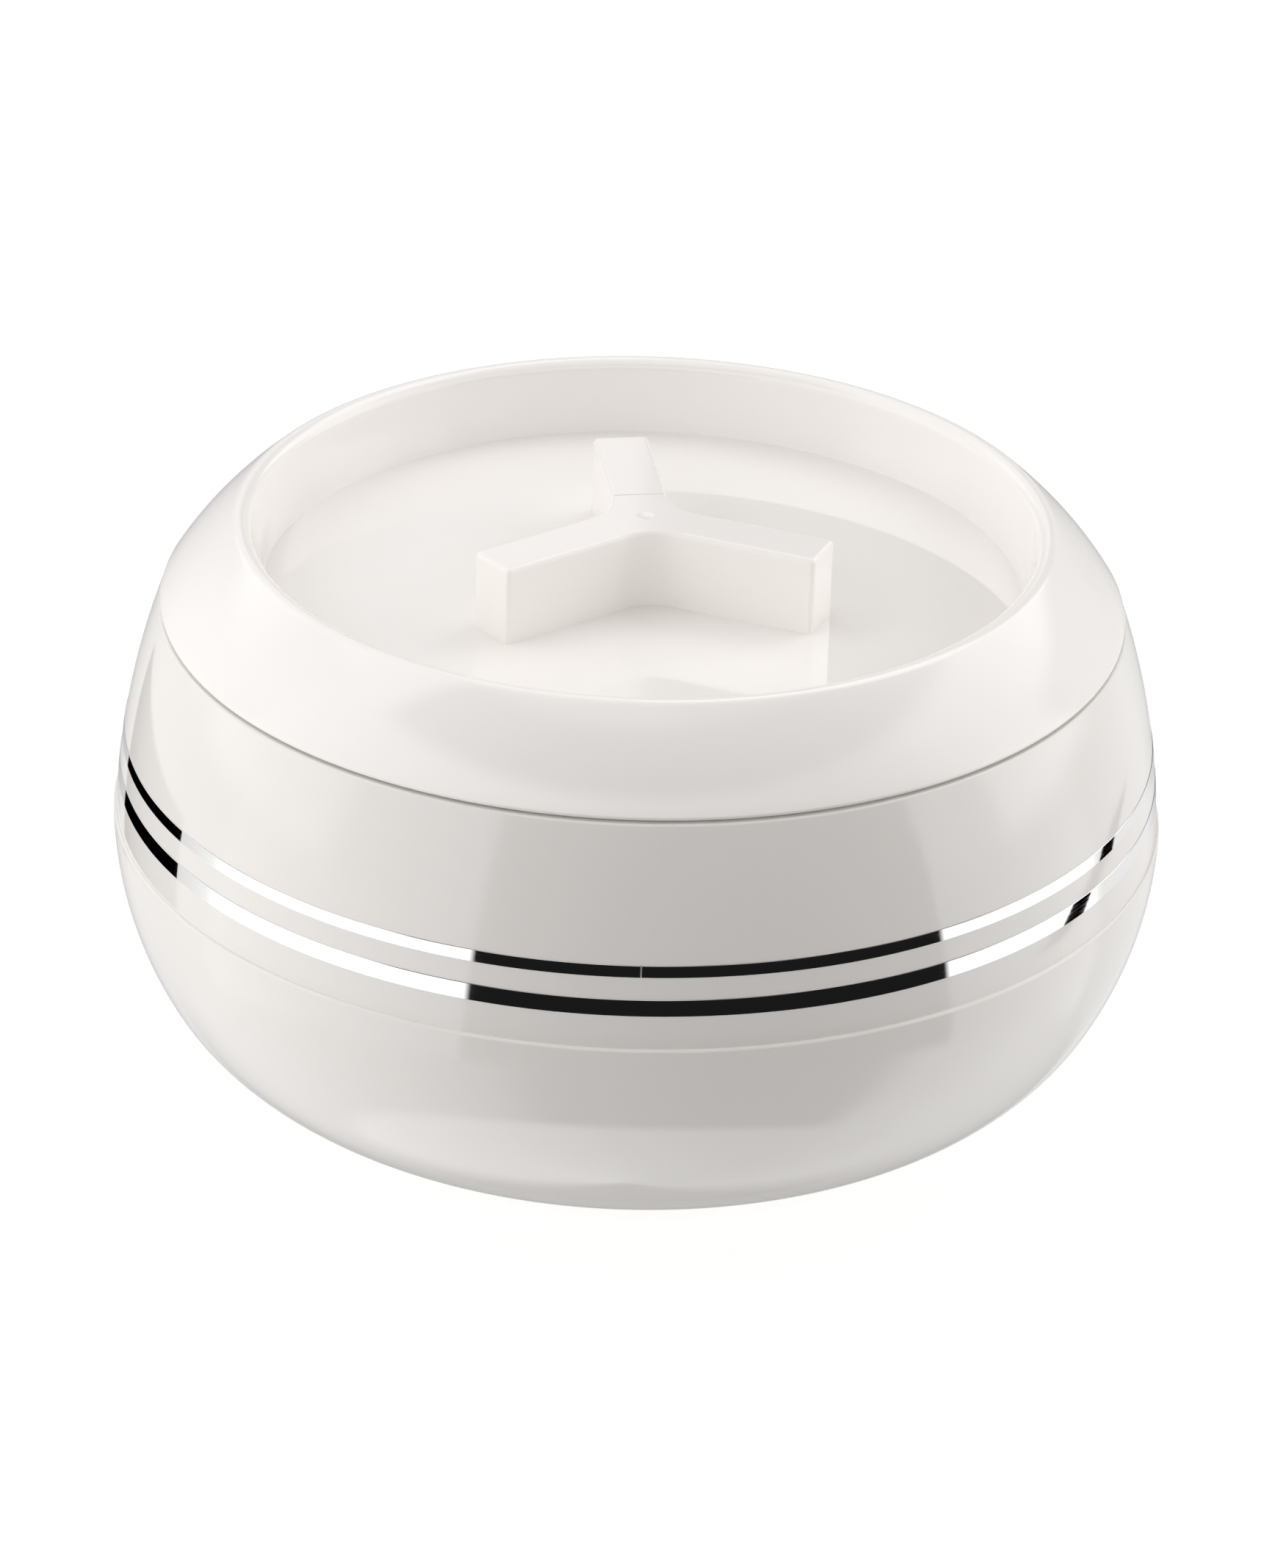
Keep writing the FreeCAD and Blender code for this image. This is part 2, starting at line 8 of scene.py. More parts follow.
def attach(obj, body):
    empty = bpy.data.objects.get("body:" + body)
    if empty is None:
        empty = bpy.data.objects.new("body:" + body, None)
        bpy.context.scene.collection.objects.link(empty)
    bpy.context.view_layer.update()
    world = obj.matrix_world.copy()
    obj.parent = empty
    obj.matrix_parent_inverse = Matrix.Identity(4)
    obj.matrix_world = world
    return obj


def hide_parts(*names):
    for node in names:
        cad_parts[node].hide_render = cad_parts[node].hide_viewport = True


# Insulated chapati casserole. The sizes are millimetres, as in the CAD. Each shell is an outline of
# (radius, height) points, turned about Z; the handle and the small parts are the CAD's own meshes.

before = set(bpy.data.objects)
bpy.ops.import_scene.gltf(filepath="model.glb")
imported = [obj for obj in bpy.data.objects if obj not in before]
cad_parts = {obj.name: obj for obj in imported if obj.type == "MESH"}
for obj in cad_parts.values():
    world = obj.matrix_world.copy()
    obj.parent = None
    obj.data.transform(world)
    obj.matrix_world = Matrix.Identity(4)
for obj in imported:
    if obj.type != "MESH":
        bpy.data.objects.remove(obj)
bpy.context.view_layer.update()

MM = 0.001

# ---- the part's own sizes ----
# The ledge is the joint of bowl and belt, and the spigot is the belt's tongue below it. The bilge is the
# bowl's lower curve, and the kick is the raised middle of its underside. A _FIT is a gap between two pieces.
FOOT_HEIGHT = 2.7
FOOT_WIDTH = 5.0
FOOT_INSET = 0.8
FOOT_ROUND = 0.8
BOWL_HEIGHT = 65.5
LEDGE_RADIUS = 129.2
LEDGE_ROUND = 0.7
SIDE_ARC = 85.0
BILGE_ARC = 47.5
LEDGE_STEP = 0.8
BELT_HEIGHT = 53.3
BELT_TAPER = 10.4
BELT_ARC = 176.0
OUTER_WALL = 2.6
SEAM_ROUND = 0.7
SPIGOT_DEPTH = 7.0
SPIGOT_WALL = 2.2
SPIGOT_ROOT = 4.0
SPIGOT_FIT = 0.1
LOWER_BAND_RISE = 8.4
LOWER_BAND_WIDTH = 4.1
BAND_SPACING = 5.5
UPPER_BAND_WIDTH = 2.9
BAND_THICKNESS = 0.45
BAND_PROUD = 0.12
BAND_FIT = 0.05
BAND_BUTT_GAP = 0.35
UPPER_BUTT_ANGLE = 271.0
LOWER_BUTT_ANGLE = 90.0
RIM_THICKNESS = 3.8
RIM_OVERLAP = 5.0
LINER_SINK = 0.3
RIM_LAND = 8.8
FLANGE_WIDTH = 7.0
LINER_TAPER = 7.0
LINER_LIFT = 11.4
LINER_CORNER = 20.0
LINER_LIP_ROUND = 2.2
LINER_STEEL = 0.6
GASKET_THICKNESS = 0.6
SEAT_FIT = 0.3
KICK_UP = 5.0
KICK_INSET = 5.4
COVER_SHELF = 1.6
COVER_THICKNESS = 1.6
FILL_HOLE_RADIUS = 9.0
PUSH_FIT = 0.1
SEAM_GAP = 0.6
LID_OVERHANG = 0.2
SHOULDER_RISE = 24.5
SHOULDER_RUN = 21.8
SHOULDER_ARC = 86.0
CREST_ROUND = 3.0
RECESS_DEPTH = 21.0
RECESS_DRAFT = math.radians(9.2)
RECESS_CORNER = 0.4
LID_WALL = 2.5
LID_EDGE_WALL = 4.7
COVER_WALL = 2.0
COVER_FIT = 0.15
COVER_LIP = 3.0
COVER_NECK_ROUND = 1.5
PLUG_DEPTH = 14.0
PLUG_CLEARANCE = 1.6
PLUG_CORNER = 6.0
SEAL_HEIGHT = 4.6
SEAL_RISE = 5.5
SEAL_GROOVE = 0.7
SEAL_BAND = 1.2
SEAL_LIP = 0.5
SEAL_FIT = 0.1
SEAL_CLEARANCE = 0.3

# ---- heights and radii that follow ----
UNDERSIDE_Z = FOOT_HEIGHT
KICK_Z = UNDERSIDE_Z + KICK_UP
COVER_SEAT_Z = UNDERSIDE_Z + COVER_THICKNESS
LEDGE_Z = UNDERSIDE_Z + BOWL_HEIGHT
LOWER_BAND_Z = LEDGE_Z + LOWER_BAND_RISE
UPPER_BAND_Z = LOWER_BAND_Z + LOWER_BAND_WIDTH + BAND_SPACING
RIM_Z = LEDGE_Z + BELT_HEIGHT
FLANGE_Z = RIM_Z - LINER_SINK - LINER_STEEL
LINER_Z = KICK_Z + OUTER_WALL + LINER_LIFT
SEAM_Z = RIM_Z + SEAM_GAP
CREST_Z = SEAM_Z + SHOULDER_RISE
RECESS_Z = CREST_Z - RECESS_DEPTH
PANEL_Z = RECESS_Z - LID_WALL
PLUG_Z = RIM_Z - PLUG_DEPTH
SEAL_Z = PLUG_Z + SEAL_RISE
BILGE_REACH = math.sqrt((SIDE_ARC - BILGE_ARC) ** 2 - (BOWL_HEIGHT - BILGE_ARC) ** 2)
BILGE_RADIUS = LEDGE_RADIUS - SIDE_ARC + BILGE_REACH
FOOT_RADIUS = BILGE_RADIUS - FOOT_INSET
KICK_RADIUS = FOOT_RADIUS - FOOT_WIDTH - KICK_INSET
COVER_RADIUS = KICK_RADIUS + COVER_SHELF
BELT_FOOT_RADIUS = LEDGE_RADIUS - LEDGE_STEP
RIM_RADIUS = BELT_FOOT_RADIUS - BELT_TAPER
LINER_FLANGE_RADIUS = RIM_RADIUS - RIM_LAND
LINER_MOUTH_RADIUS = LINER_FLANGE_RADIUS - FLANGE_WIDTH
BOWL_INNER_ARC = SIDE_ARC - OUTER_WALL
SPIGOT_RADIUS = LEDGE_RADIUS - SIDE_ARC + math.sqrt(BOWL_INNER_ARC ** 2 - SPIGOT_DEPTH ** 2) - SPIGOT_FIT
LID_RADIUS = RIM_RADIUS + LID_OVERHANG
CREST_RADIUS = LID_RADIUS - SHOULDER_RUN
LID_MOUTH_RADIUS = LID_RADIUS - LID_EDGE_WALL
COVER_EDGE_RADIUS = LID_MOUTH_RADIUS - COVER_FIT

# ---- how fine the meshes are ----
SPIN_STEPS = 360            # facets round a turned piece
BAND_SPIN_STEPS = 720       # the mirror strips show every facet, so they get more
POINT_SPACING = 2.0         # mm along an outline
ROUND_STEPS = 8             # facets in a small rounding
CREST_STEPS = 20
SEAL_ROUND_STEPS = 4
SHARP_ANGLE = math.radians(35)
SAME_PLACE = 1e-5           # mm: nearer points are one
ON_AXIS = 1e-6              # mm: nearer the axis, a point isn't turned


# ---- outlines ----

def line(start, end):
    """Evenly spaced points from start to end, both included."""
    start, end = Vector(start), Vector(end)
    steps = max(1, math.ceil((end - start).length / POINT_SPACING))
    return [start.lerp(end, step / steps) for step in range(steps + 1)]


def arc(centre, start, end, steps=None):
    """Points on the shorter arc about a centre, both ends included."""
    centre, start, end = Vector(centre), Vector(start), Vector(end)
    first = start - centre
    turn = math.atan2(first.cross(end - centre), first.dot(end - centre))
    steps = steps or max(2, math.ceil(abs(turn) * first.length / POINT_SPACING))
    return [centre + Matrix.Rotation(turn * step / steps, 2) @ first for step in range(steps + 1)]


def arc_centre(start, end, radius):
    """Centre of the arc from start to end, on the left of that direction."""
    start, end = Vector(start), Vector(end)
    chord = end - start
    left = Vector((-chord.y, chord.x)).normalized()
    return start + chord / 2 + left * math.sqrt(radius ** 2 - (chord.length / 2) ** 2)


def rounding(line_point, along, inward, centre, radius, size):
    """Tangent points and centre of a rounding between a line and the inside of an arc."""
    line_point, along, inward, centre = (Vector(v) for v in (line_point, along, inward, centre))
    start = line_point + inward * size
    offset = start - centre
    across = offset.dot(along)
    reach = -across + math.sqrt(across ** 2 - offset.length_squared + (radius - size) ** 2)
    middle = start + along * reach
    return middle - inward * size, centre + (middle - centre).normalized() * radius, middle


def joined(*runs):
    """One outline from runs of points, without the points that repeat."""
    points = []
    for run in runs:
        for place in run:
            if not points or (place - points[-1]).length > SAME_PLACE:
                points.append(place)
    if (points[0] - points[-1]).length < SAME_PLACE:
        points.pop()
    return points


def corner_path(path, steps=ROUND_STEPS):
    """Points along a path of (radius, height, corner radius)."""
    runs = []
    start = Vector(path[0][:2])
    for before, here, after in zip(path, path[1:], path[2:]):
        place = Vector(here[:2])
        way_in = (place - Vector(before[:2])).normalized()
        way_out = (Vector(after[:2]) - place).normalized()
        if here[2] > 0:
            reach = here[2] * math.tan(way_in.angle(way_out) / 2)
            side = math.copysign(here[2], way_in.cross(way_out))
            centre = place - way_in * reach + Vector((-way_in.y, way_in.x)) * side
            runs.append(line(start, place - way_in * reach))
            start = place + way_out * reach
            runs.append(arc(centre, runs[-1][-1], start, steps))
        else:
            runs.append(line(start, place))
            start = place
    runs.append(line(start, Vector(path[-1][:2])))
    return joined(*runs)


def moved_left(path, distance):
    """A path moved sideways; each rounded corner keeps its centre."""
    places = [Vector(corner[:2]) for corner in path]
    ways = [(end - start).normalized() for start, end in zip(places, places[1:])]
    moved = []
    for corner, place, before, after in zip(path, places, ways[:1] + ways, ways + ways[-1:]):
        left_before, left_after = Vector((-before.y, before.x)), Vector((-after.y, after.x))
        place = place + (left_before + left_after) * (distance / (1 + left_before.dot(left_after)))
        change = -distance if left_before.dot(after) > 0 else distance
        moved.append((place.x, place.y, max(corner[2] + change, 0) if corner[2] else 0))
    return moved


def sheet_outline(path, thickness):
    """Both faces of a sheet whose lower or outer face is the path."""
    return corner_path(path) + corner_path(moved_left(path, thickness))[::-1]


# ---- meshes ----

def mesh_piece(name, bm, body, nodes, material):
    """A finished piece from a bmesh: smooth, with sharp edges kept, riding on a body."""
    bmesh.ops.recalc_face_normals(bm, faces=bm.faces)
    mesh = bpy.data.meshes.new(name)
    bm.to_mesh(mesh)
    bm.free()
    mesh.shade_smooth()
    mesh.set_sharp_from_angle(angle=SHARP_ANGLE)
    piece = bpy.data.objects.new(name, mesh)
    bpy.context.scene.collection.objects.link(piece)
    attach(piece, body)
    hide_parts(*nodes)
    mesh.materials.append(material)


def spun(outline, steps=SPIN_STEPS, first=0.0, sweep=math.tau, closed=True):
    """A bmesh of an outline turned about Z. An outline that isn't closed starts and ends on the axis."""
    bm = bmesh.new()
    full = sweep == math.tau
    rings = []
    for step in range(steps if full else steps + 1):
        angle = first + sweep * step / steps
        ring = []
        for index, place in enumerate(outline):
            if place.x < ON_AXIS and rings:
                ring.append(rings[0][index])
                continue
            x = place.x * math.cos(angle) * MM
            y = place.x * math.sin(angle) * MM
            ring.append(bm.verts.new((x, y, place.y * MM)))
        rings.append(ring)
    pairs = list(zip(rings, rings[1:] + rings[:1])) if full else list(zip(rings, rings[1:]))
    count = len(outline)
    for near, far in pairs:
        for index in range(count if closed else count - 1):
            after = (index + 1) % count
            corners = [near[index], far[index], far[after], near[after]]
            bm.faces.new([v for place, v in enumerate(corners) if v not in corners[:place]])
    if not full:
        bm.faces.new(rings[0])
        bm.faces.new(rings[-1])
    return bm


# ---- the body's outlines ----

def bowl_side(inset):
    """The side's centre, the point where bilge and side meet, and the bilge, for a wall moved inwards."""
    side_centre = Vector((LEDGE_RADIUS - SIDE_ARC, LEDGE_Z))
    bilge_centre = Vector((BILGE_RADIUS, UNDERSIDE_Z + BILGE_ARC))
    tangent = side_centre + (bilge_centre - side_centre).normalized() * (SIDE_ARC - inset)
    return side_centre, tangent, arc(bilge_centre, (BILGE_RADIUS, UNDERSIDE_Z + inset), tangent)


def bowl_outline():
    """From the fill hole over the foot and up the outside, then down the inside."""
    side_centre, tangent, bilge = bowl_side(0)
    on_top, on_side, round_centre = rounding(
        (0, LEDGE_Z), (1, 0), (0, -1), side_centre, SIDE_ARC, LEDGE_ROUND)
    inner_centre, inner_tangent, inner_bilge = bowl_side(OUTER_WALL)
    inner_edge = Vector((LEDGE_RADIUS - OUTER_WALL, LEDGE_Z))
    foot_inside = FOOT_RADIUS - FOOT_WIDTH
    under = corner_path([
        (FILL_HOLE_RADIUS, KICK_Z, 0),
        (KICK_RADIUS, KICK_Z, 0),
        (KICK_RADIUS, COVER_SEAT_Z, 0),
        (COVER_RADIUS + PUSH_FIT, COVER_SEAT_Z, 0),
        (COVER_RADIUS + PUSH_FIT, UNDERSIDE_Z, 0),
        (foot_inside, UNDERSIDE_Z, 0),
        (foot_inside, 0, FOOT_ROUND),
        (FOOT_RADIUS, 0, FOOT_ROUND),
        (FOOT_RADIUS, UNDERSIDE_Z, 0),
        (BILGE_RADIUS, UNDERSIDE_Z, 0),
    ])
    inside_floor = corner_path([
        (BILGE_RADIUS, UNDERSIDE_Z + OUTER_WALL, 0),
        (KICK_RADIUS + OUTER_WALL, UNDERSIDE_Z + OUTER_WALL, 0),
        (KICK_RADIUS + OUTER_WALL, KICK_Z + OUTER_WALL, 0),
        (FILL_HOLE_RADIUS, KICK_Z + OUTER_WALL, 0),
        (FILL_HOLE_RADIUS, KICK_Z, 0),
    ])
    return joined(
        under,
        bilge,
        arc(side_centre, tangent, on_side),
        arc(round_centre, on_side, on_top, ROUND_STEPS),
        line(on_top, inner_edge),
        arc(inner_centre, inner_edge, inner_tangent),
        inner_bilge[::-1],
        inside_floor,
    )


def belt_centre():
    return arc_centre((BELT_FOOT_RADIUS, LEDGE_Z), (RIM_RADIUS, RIM_Z), BELT_ARC)


def on_belt(z, offset=0.0):
    """The belt's outside at a height, moved outwards."""
    centre = belt_centre()
    return Vector((centre.x + math.sqrt((BELT_ARC + offset) ** 2 - (z - centre.y) ** 2), z))


def belt_run(low, high, offset=0.0):
    return arc(belt_centre(), on_belt(low, offset), on_belt(high, offset))


def belt_outline():
    """Up the outside with its two grooves, over the rim and its seat, and down inside to the tongue."""
    floor_offset = BAND_PROUD - BAND_THICKNESS - BAND_FIT
    outside = []
    start = LEDGE_Z
    for low, width in ((LOWER_BAND_Z, LOWER_BAND_WIDTH), (UPPER_BAND_Z, UPPER_BAND_WIDTH)):
        groove_low, groove_high = low - BAND_FIT, low + width + BAND_FIT
        outside.append(belt_run(start, groove_low))
        outside.append(belt_run(groove_low, groove_high, floor_offset))
        start = groove_high
    centre = belt_centre()
    on_top, on_side, round_centre = rounding((0, RIM_Z), (1, 0), (0, -1), centre, BELT_ARC, SEAM_ROUND)
    outside.append(belt_run(start, on_side.y))
    outside.append(arc(round_centre, on_side, on_top, ROUND_STEPS))
    seat_z = FLANGE_Z - GASKET_THICKNESS
    seat_radius = LINER_FLANGE_RADIUS + SEAT_FIT
    hole_radius = LINER_FLANGE_RADIUS - RIM_OVERLAP
    cavity_top = RIM_Z - RIM_THICKNESS
    top = corner_path([
        (*on_top, 0),
        (seat_radius, RIM_Z, 0),
        (seat_radius, seat_z, 0),
        (hole_radius, seat_z, 0),
        (hole_radius, cavity_top, 0),
        (*on_belt(cavity_top, -OUTER_WALL), 0),
    ])
    spigot_top = LEDGE_Z + SPIGOT_ROOT
    spigot = corner_path([
        (SPIGOT_RADIUS - SPIGOT_WALL, spigot_top, 0),
        (SPIGOT_RADIUS - SPIGOT_WALL, LEDGE_Z - SPIGOT_DEPTH, 0),
        (SPIGOT_RADIUS, LEDGE_Z - SPIGOT_DEPTH, 0),
        (SPIGOT_RADIUS, LEDGE_Z, 0),
        (*on_belt(LEDGE_Z), 0),
    ])
    return joined(*outside, top, belt_run(cavity_top, spigot_top, -OUTER_WALL), spigot)


def band_outline(low, width):
    """A strip that follows the belt, its two outer edges just broken."""
    high = low + width
    edge = BAND_PROUD / 2
    outside = belt_run(low + edge, high - edge, BAND_PROUD)
    inside = belt_run(high, low, BAND_PROUD - BAND_THICKNESS)
    low_edge = [on_belt(low, BAND_PROUD - edge)]
    high_edge = [on_belt(high, BAND_PROUD - edge)]
    return joined(low_edge, outside, high_edge, inside)


def liner_path():
    """The liner's outer face, from the middle of its floor to the edge of its flange."""
    mouth = LINER_MOUTH_RADIUS + LINER_STEEL
    return [
        (0, LINER_Z, 0),
        (mouth - LINER_TAPER, LINER_Z, LINER_CORNER),
        (mouth, FLANGE_Z, LINER_LIP_ROUND),
        (LINER_FLANGE_RADIUS, FLANGE_Z, 0),
    ]


def liner_radius(z):
    """The liner's inner radius at a height."""
    return LINER_MOUTH_RADIUS - LINER_TAPER * (FLANGE_Z - z) / (FLANGE_Z - LINER_Z)


# ---- the lid's outlines ----

def shoulder_centre():
    return arc_centre((LID_RADIUS, SEAM_Z), (CREST_RADIUS, CREST_Z), SHOULDER_ARC)


def recess_line(grow):
    """A point and an upward direction on the recess wall, moved into the lid."""
    up = Vector((math.sin(RECESS_DRAFT), math.cos(RECESS_DRAFT)))
    return Vector((CREST_RADIUS + grow / math.cos(RECESS_DRAFT), CREST_Z)), up


def lid_outline():
    """From the middle of the sunk floor over the crest to the seam, then back along the inside."""
    centre = shoulder_centre()
    crest, up = recess_line(0)
    inward = Vector((up.y, -up.x))
    on_wall, on_shoulder, crest_centre = rounding(
        crest - up * RECESS_DEPTH, up, inward, centre, SHOULDER_ARC, CREST_ROUND)
    on_edge, on_side, edge_centre = rounding(
        (0, SEAM_Z), (1, 0), (0, 1), centre, SHOULDER_ARC, SEAM_ROUND)
    floor_radius = CREST_RADIUS - RECESS_DEPTH * math.tan(RECESS_DRAFT)
    floor = corner_path([(0, RECESS_Z, 0), (floor_radius, RECESS_Z, RECESS_CORNER), (*on_wall, 0)])
    inner_arc = SHOULDER_ARC - LID_WALL
    inner_wall, _ = recess_line(LID_WALL)
    reach = (inner_wall - centre).dot(up)
    offset = inner_wall - centre - up * reach
    inner_crest = centre + offset + up * math.sqrt(inner_arc ** 2 - offset.length_squared)
    mouth_z = centre.y + math.sqrt(inner_arc ** 2 - (LID_MOUTH_RADIUS - centre.x) ** 2)
    mouth_top = Vector((LID_MOUTH_RADIUS, mouth_z))
    panel_radius = inner_wall.x - (CREST_Z - PANEL_Z) * math.tan(RECESS_DRAFT)
    return joined(
        floor,
        arc(crest_centre, on_wall, on_shoulder, CREST_STEPS),
        arc(centre, on_shoulder, on_side),
        arc(edge_centre, on_side, on_edge, ROUND_STEPS),
        line(on_edge, (LID_MOUTH_RADIUS, SEAM_Z)),
        line((LID_MOUTH_RADIUS, SEAM_Z), mouth_top),
        arc(centre, mouth_top, inner_crest),
        line(inner_crest, (panel_radius, PANEL_Z)),
        line((panel_radius, PANEL_Z), (0, PANEL_Z)),
    )


def plug_radius(z):
    """Radius of the inner cover's plug at a height."""
    return liner_radius(z) - PLUG_CLEARANCE


def cover_outline():
    """The inner cover's lower face with the seal's groove, then back along its upper face."""
    path = [
        (FILL_HOLE_RADIUS, PLUG_Z, 0),
        (plug_radius(PLUG_Z), PLUG_Z, PLUG_CORNER),
        (plug_radius(RIM_Z), RIM_Z, COVER_NECK_ROUND),
        (COVER_EDGE_RADIUS, RIM_Z, 0),
        (COVER_EDGE_RADIUS, RIM_Z + COVER_LIP, 0),
    ]
    outside = corner_path(path)
    groove_top = SEAL_Z + SEAL_HEIGHT
    groove_radius = plug_radius(SEAL_Z) - SEAL_GROOVE
    below = [place for place in outside if place.y < SEAL_Z]
    above = [place for place in outside if place.y > groove_top]
    groove = corner_path([
        (plug_radius(SEAL_Z), SEAL_Z, 0),
        (groove_radius, SEAL_Z, 0),
        (groove_radius, groove_top, 0),
        (plug_radius(groove_top), groove_top, 0),
    ])
    return joined(below, groove, above, corner_path(moved_left(path, COVER_WALL))[::-1])


def seal_outline():
    """A band in the groove, with a lip that reaches out and up towards the liner."""
    low = SEAL_Z + SEAL_FIT
    high = SEAL_Z + SEAL_HEIGHT - SEAL_FIT
    middle = (low + high) / 2
    inner = plug_radius(SEAL_Z) - SEAL_GROOVE + SEAL_FIT
    outer = inner + SEAL_BAND
    tip = liner_radius(high - SEAL_LIP) - SEAL_CLEARANCE
    edge = SEAL_LIP / 3
    fine_edge = edge / 2
    return corner_path([
        (inner, middle, 0),
        (inner, low, edge),
        (outer, low, edge),
        (outer, middle, edge),
        (tip, high - SEAL_LIP, fine_edge),
        (tip, high, fine_edge),
        (outer, middle + SEAL_BAND, edge),
        (outer, high, fine_edge),
        (inner, high, edge),
        (inner, middle, 0),
    ], steps=SEAL_ROUND_STEPS)[:-1]


# ---- materials ----
# Noise is sized in blobs to a metre, and a bump's depth is in metres.

MIX_COLOUR_A, MIX_COLOUR_B, MIX_COLOUR_RESULT = 6, 7, 2     # the colour sockets of a Mix node
NOISE_RANGE = (0.3, 0.7)    # where nearly all of a noise lies
PLASTIC_IOR = 1.54
GRAIN_SHARE = 0.15          # depth of the plastic's fine grain, as a share of its orange peel


def feed(tree, node, inputs):
    """Gives each of these inputs its value, or links it from an output."""
    for name, value in inputs.items():
        if isinstance(value, bpy.types.NodeSocket):
            tree.links.new(value, node.inputs[name])
        else:
            node.inputs[name].default_value = value


def add(tree, kind, inputs=None, **settings):
    """A new node with its settings and inputs."""
    node = tree.nodes.new(kind)
    for name, value in settings.items():
        setattr(node, name, value)
    feed(tree, node, inputs or {})
    return node


def maths(tree, operation, *values):
    return add(tree, "ShaderNodeMath", dict(enumerate(values)), operation=operation).outputs[0]


def spread(tree, value, low=0.0, high=1.0, source=NOISE_RANGE):
    """A value spread over the range from low to high."""
    inputs = {"Value": value, "From Min": source[0], "From Max": source[1], "To Min": low, "To Max": high}
    return add(tree, "ShaderNodeMapRange", inputs).outputs["Result"]


def noise(tree, place, scale, detail=2.0, roughness=0.5):
    inputs = {"Vector": place, "Scale": scale, "Detail": detail, "Roughness": roughness}
    return add(tree, "ShaderNodeTexNoise", inputs).outputs["Fac"]


def colour_between(tree, factor, first, second):
    """The first colour where the factor is 0, the second where it is 1."""
    inputs = {"Factor": factor, MIX_COLOUR_A: (*first, 1.0), MIX_COLOUR_B: (*second, 1.0)}
    return add(tree, "ShaderNodeMix", inputs, data_type="RGBA").outputs[MIX_COLOUR_RESULT]


def bump(tree, height, depth, normal=None):
    """The normal of a relief, where a height of 1 stands depth metres above a height of 0."""
    inputs = {"Height": height, "Distance": depth, "Strength": 1.0}
    if normal:
        inputs["Normal"] = normal
    return add(tree, "ShaderNodeBump", inputs).outputs["Normal"]


def round_axis(tree, place, along, across):
    """Coordinates that run round Z: drawn out along the turn, close together in radius and height."""
    parts = add(tree, "ShaderNodeSeparateXYZ", {"Vector": place})
    angle = maths(tree, "ARCTAN2", parts.outputs["Y"], parts.outputs["X"])
    flat = add(tree, "ShaderNodeCombineXYZ", {"X": parts.outputs["X"], "Y": parts.outputs["Y"]}).outputs[0]
    radius = add(tree, "ShaderNodeVectorMath", {0: flat}, operation="LENGTH").outputs["Value"]
    inputs = {
        "X": maths(tree, "MULTIPLY", angle, along),
        "Y": maths(tree, "MULTIPLY", radius, across),
        "Z": maths(tree, "MULTIPLY", parts.outputs["Z"], across),
    }
    return add(tree, "ShaderNodeCombineXYZ", inputs).outputs[0]


def new_material(name):
    """A material, its node tree, its shader and the coordinates to place patterns by."""
    material = bpy.data.materials.new(name)
    material.use_nodes = True
    tree = material.node_tree
    shader = tree.nodes["Principled BSDF"]
    place = tree.nodes.new("ShaderNodeTexCoord").outputs["Object"]
    return material, tree, shader, place


def moulded_plastic(name, light, dark, gloss, peel):
    """Injection-moulded plastic: two close tones, uneven gloss and a trace of orange peel."""
    material, tree, shader, place = new_material(name)
    tone = spread(tree, noise(tree, place, scale=9.0))
    smear = noise(tree, place, scale=60.0, detail=4.0)
    waves = bump(tree, noise(tree, place, scale=160.0), depth=peel)
    grain = noise(tree, place, scale=1400.0, detail=3.0)
    feed(tree, shader, {
        "Base Color": colour_between(tree, tone, dark, light),
        "Roughness": spread(tree, smear, *gloss),
        "Normal": bump(tree, grain, depth=peel * GRAIN_SHARE, normal=waves),
        "IOR": PLASTIC_IOR,
    })
    return material


def mirror_strip(name):
    """Bright rolled strip with faint lines along it."""
    material, tree, shader, place = new_material(name)
    lines = noise(tree, round_axis(tree, place, along=3.0, across=2500.0), scale=1.0, detail=3.0)
    feed(tree, shader, {
        "Base Color": colour_between(tree, lines, (0.86, 0.86, 0.86), (0.95, 0.945, 0.94)),
        "Roughness": spread(tree, lines, low=0.015, high=0.05),
        "Normal": bump(tree, lines, depth=2e-7),
        "Metallic": 1.0,
    })
    return material


def turned_steel(name):
    """Stainless steel, polished while it turned, so that its fine lines run round it."""
    material, tree, shader, place = new_material(name)
    rings = round_axis(tree, place, along=6.0, across=1800.0)
    lines = noise(tree, rings, scale=1.0, detail=6.0, roughness=0.65)
    stain = spread(tree, noise(tree, place, scale=14.0, detail=3.0))
    feed(tree, shader, {
        "Base Color": colour_between(tree, stain, (0.55, 0.545, 0.53), (0.64, 0.635, 0.625)),
        "Roughness": spread(tree, lines, low=0.2, high=0.34),
        "Normal": bump(tree, lines, depth=4e-6),
        "Metallic": 1.0,
        "Anisotropic": 0.6,
        "Tangent": add(tree, "ShaderNodeTangent", direction_type="RADIAL", axis="Z").outputs[0],
    })
    return material


def silicone(name):
    """Grey seal rubber that lets a little light in."""
    material, tree, shader, place = new_material(name)
    tone = spread(tree, noise(tree, place, scale=30.0))
    feed(tree, shader, {
        "Base Color": colour_between(tree, tone, (0.62, 0.63, 0.63), (0.72, 0.73, 0.72)),
        "Roughness": spread(tree, noise(tree, place, scale=300.0), low=0.38, high=0.55),
        "Normal": bump(tree, noise(tree, place, scale=900.0, detail=4.0), depth=8e-6),
        "Subsurface Weight": 0.3,
        "Subsurface Scale": 0.002,
    })
    return material


